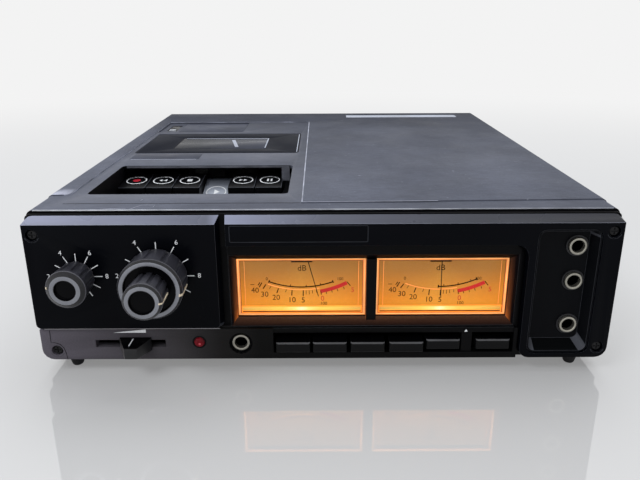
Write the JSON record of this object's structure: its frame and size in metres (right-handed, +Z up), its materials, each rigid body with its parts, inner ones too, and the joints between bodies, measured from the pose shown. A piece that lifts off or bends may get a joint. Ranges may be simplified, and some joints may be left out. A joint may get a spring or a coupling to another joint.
{
  "type": "cassette deck",
  "caption": "Portable top-loading cassette deck with twin lit level meters, rotary and sliding level controls, piano transport keys, push buttons and microphone jacks.",
  "frame": {"origin": "centre of the bounding box at the height of the feet", "axes": "+X to the right seen from the front, +Y from the front to the back, +Z up"},
  "size_m": [0.35, 0.403, 0.1057],
  "materials": {
    "cover_plastic": "grained, softly worn dark blue-grey moulding",
    "case_plastic": "grained dark grey moulding",
    "frame_black": "satin black moulding",
    "panel_black": "satin black paint, lighter bevels",
    "bevel_grey": "satin blue-grey paint on the upper bevel",
    "knob_black": "semi-gloss fluted moulding",
    "silver_trim": "turned bright ring",
    "key_black": "satin black moulding",
    "key_grey": "satin grey moulding",
    "satin_metal": "satin plated metal",
    "plate_metal": "zinc-plated sheet",
    "black_metal": "blackened steel",
    "rubber_black": "dull black rubber",
    "lamp_red": "dark red lens, unlit",
    "needle_black": "black",
    "clear_window": "clear polished pane",
    "smoked_window": "smoked polished pane",
    "board_green": "green lacquer",
    "marking_white": "printed white marks",
    "marking_red": "printed red marks",
    "dial_amber": "translucent amber dial, lit from below"
  },
  "bodies": {
    "case": {"bottom_case": "case_plastic", "top_cover": "cover_plastic", "front_frame": "frame_black", "knob_panel": "panel_black", "meter_panel": "panel_black", "jack_tray": "frame_black", "rear_panel": "case_plastic", "foot_front_left": "rubber_black", "foot_front_right": "rubber_black", "foot_rear_left": "rubber_black", "foot_rear_right": "rubber_black", "front_screw_1": "black_metal", "front_screw_2": "black_metal", "front_screw_3": "black_metal", "front_screw_4": "black_metal", "control_board": "plate_metal", "alarm_lamp": "lamp_red", "phones_jack": "satin_metal", "mic_jack_left": "satin_metal", "mic_jack_right": "satin_metal", "mic_jack_blend": "satin_metal", "switch_bank": "plate_metal", "meter_left_housing": "dial_amber", "meter_right_housing": "dial_amber", "meter_window": "clear_window", "key_shaft": "satin_metal", "deck_plate": "plate_metal", "motor": "plate_metal", "drive_belt": "rubber_black", "tape_counter": "key_black", "circuit_board": "board_green"},
    "battery_door": {"battery_door": "case_plastic"},
    "blend_knob": {"blend_knob": "knob_black"},
    "input_outer": {"input_knob_outer": "knob_black"},
    "input_inner": {"input_knob_inner": "knob_black"},
    "slider": {"slider_knob": "knob_black"},
    "lid": {"cassette_lid": "cover_plastic", "lid_window": "smoked_window"},
    "head_carriage": {"head_block": "satin_metal"},
    "pinch_roller": {"pinch_roller": "rubber_black"},
    "flywheel": {"capstan_flywheel": "satin_metal"},
    "motor_pulley": {"motor_pulley": "satin_metal"},
    "supply_spindle": {"supply_spindle": "key_black"},
    "takeup_spindle": {"takeup_spindle": "key_black"},
    "left_needle": {"meter_left_needle": "needle_black"},
    "right_needle": {"meter_right_needle": "needle_black"},
    "reset_button": {"counter_reset_button": "key_grey"},
    "limiter_button": {"limiter_button": "key_black"},
    "noise_filter_button": {"noise_filter_button": "key_black"},
    "eq_button": {"eq_button": "key_black"},
    "tape_button": {"tape_button": "key_black"},
    "meter_lamp_button": {"meter_lamp_button": "key_black"},
    "power_button": {"power_button": "key_black"},
    "record_key": {"record_key": "key_black"},
    "rewind_key": {"rewind_key": "key_black"},
    "stop_key": {"stop_key": "key_black"},
    "play_key": {"play_key": "key_grey"},
    "forward_key": {"forward_key": "key_black"},
    "pause_key": {"pause_key": "key_black"}
  },
  "joints": [
    {"name": "battery_door_hinge", "type": "hinge", "parent": "case", "child": "battery_door", "pos_m": [0.084, 0.1975, 0.0258], "axis": [-1, 0, 0], "range_deg": [0, 95]},
    {"name": "blend_turn", "type": "hinge", "parent": "case", "child": "blend_knob", "pos_m": [-0.1456, -0.1765, 0.06631], "axis": [0, 1, 0], "range_deg": [-66, 234]},
    {"name": "input_outer_turn", "type": "hinge", "parent": "case", "child": "input_outer", "pos_m": [-0.0979, -0.1765, 0.06651], "axis": [0, 1, 0], "range_deg": [-250, 50]},
    {"name": "input_inner_turn", "type": "hinge", "parent": "case", "child": "input_inner", "pos_m": [-0.0979, -0.1915, 0.06651], "axis": [0, 1, 0], "range_deg": [-244, 56]},
    {"name": "phones_level_slide", "type": "slide", "parent": "case", "child": "slider", "axis": [1, 0, 0], "range_m": [-0.0222, 0.0155]},
    {"name": "limiter_press", "type": "slide", "parent": "case", "child": "limiter_button", "axis": [0, 1, 0], "range_m": [0, 0.003], "stiffness_N_per_m": 200, "springref_m": -0.001},
    {"name": "noise_filter_press", "type": "slide", "parent": "case", "child": "noise_filter_button", "axis": [0, 1, 0], "range_m": [0, 0.003], "stiffness_N_per_m": 200, "springref_m": -0.001},
    {"name": "eq_press", "type": "slide", "parent": "case", "child": "eq_button", "axis": [0, 1, 0], "range_m": [0, 0.003], "stiffness_N_per_m": 200, "springref_m": -0.001},
    {"name": "tape_press", "type": "slide", "parent": "case", "child": "tape_button", "axis": [0, 1, 0], "range_m": [0, 0.003], "stiffness_N_per_m": 200, "springref_m": -0.001},
    {"name": "meter_lamp_press", "type": "slide", "parent": "case", "child": "meter_lamp_button", "axis": [0, 1, 0], "range_m": [-0.003, 0]},
    {"name": "power_press", "type": "slide", "parent": "case", "child": "power_button", "axis": [0, 1, 0], "range_m": [-0.003, 0]},
    {"name": "record_key_press", "type": "hinge", "parent": "case", "child": "record_key", "pos_m": [-0.1408, -0.0245, 0.084], "axis": [1, 0, 0], "range_deg": [0, 13], "stiffness_Nm_per_rad": 0.3, "springref_deg": -5.73},
    {"name": "rewind_key_press", "type": "hinge", "parent": "case", "child": "rewind_key", "pos_m": [-0.1206, -0.0245, 0.084], "axis": [1, 0, 0], "range_deg": [0, 13], "stiffness_Nm_per_rad": 0.3, "springref_deg": -5.73},
    {"name": "stop_key_press", "type": "hinge", "parent": "case", "child": "stop_key", "pos_m": [-0.1004, -0.0245, 0.084], "axis": [1, 0, 0], "range_deg": [0, 13], "stiffness_Nm_per_rad": 0.3, "springref_deg": -5.73},
    {"name": "play_key_press", "type": "hinge", "parent": "case", "child": "play_key", "pos_m": [-0.0802, -0.0245, 0.084], "axis": [1, 0, 0], "range_deg": [-13, 0]},
    {"name": "forward_key_press", "type": "hinge", "parent": "case", "child": "forward_key", "pos_m": [-0.06, -0.0245, 0.084], "axis": [1, 0, 0], "range_deg": [0, 13], "stiffness_Nm_per_rad": 0.3, "springref_deg": -5.73},
    {"name": "pause_key_press", "type": "hinge", "parent": "case", "child": "pause_key", "pos_m": [-0.0398, -0.0245, 0.084], "axis": [1, 0, 0], "range_deg": [0, 13], "stiffness_Nm_per_rad": 0.3, "springref_deg": -5.73},
    {"name": "head_carriage_slide", "type": "slide", "parent": "case", "child": "head_carriage", "axis": [0, 1, 0], "range_m": [-0.006, 0]},
    {"name": "pinch_roller_spin", "type": "hinge", "parent": "head_carriage", "child": "pinch_roller", "pos_m": [-0.0586, -0.005, 0.088], "axis": [0, 0, 1], "continuous": true},
    {"name": "capstan_spin", "type": "hinge", "parent": "case", "child": "flywheel", "pos_m": [-0.0586, 0.0021, 0.06], "axis": [0, 0, 1], "continuous": true},
    {"name": "motor_spin", "type": "hinge", "parent": "case", "child": "motor_pulley", "pos_m": [-0.045, 0.0955, 0.053], "axis": [0, 0, 1], "continuous": true},
    {"name": "supply_spin", "type": "hinge", "parent": "case", "child": "supply_spindle", "pos_m": [-0.10885, 0.0335, 0.085], "axis": [0, 0, 1], "continuous": true},
    {"name": "takeup_spin", "type": "hinge", "parent": "case", "child": "takeup_spindle", "pos_m": [-0.06635, 0.0335, 0.085], "axis": [0, 0, 1], "continuous": true},
    {"name": "lid_hinge", "type": "hinge", "parent": "case", "child": "lid", "pos_m": [-0.0876, 0.073, 0.1028], "axis": [-1, 0, 0], "range_deg": [0, 75]},
    {"name": "left_needle_swing", "type": "hinge", "parent": "case", "child": "left_needle", "pos_m": [-0.01351, -0.1484, 0.0833], "axis": [0, 1, 0], "range_deg": [-29, 57], "stiffness_Nm_per_rad": 0.0001},
    {"name": "right_needle_swing", "type": "hinge", "parent": "case", "child": "right_needle", "pos_m": [0.07364, -0.1484, 0.0833], "axis": [0, 1, 0], "range_deg": [-43, 43], "stiffness_Nm_per_rad": 0.0001},
    {"name": "counter_reset_press", "type": "slide", "parent": "case", "child": "reset_button", "axis": [0, 0, -1], "range_m": [0, 0.0014], "stiffness_N_per_m": 50, "springref_m": -0.001}
  ],
  "couplings": [
    {"joint": "play_key_press", "follows": "head_carriage_slide", "rad_per_m": 37.8},
    {"joint": "pinch_roller_spin", "follows": "capstan_spin", "ratio": -0.23636},
    {"joint": "motor_spin", "follows": "capstan_spin", "ratio": 6}
  ]
}
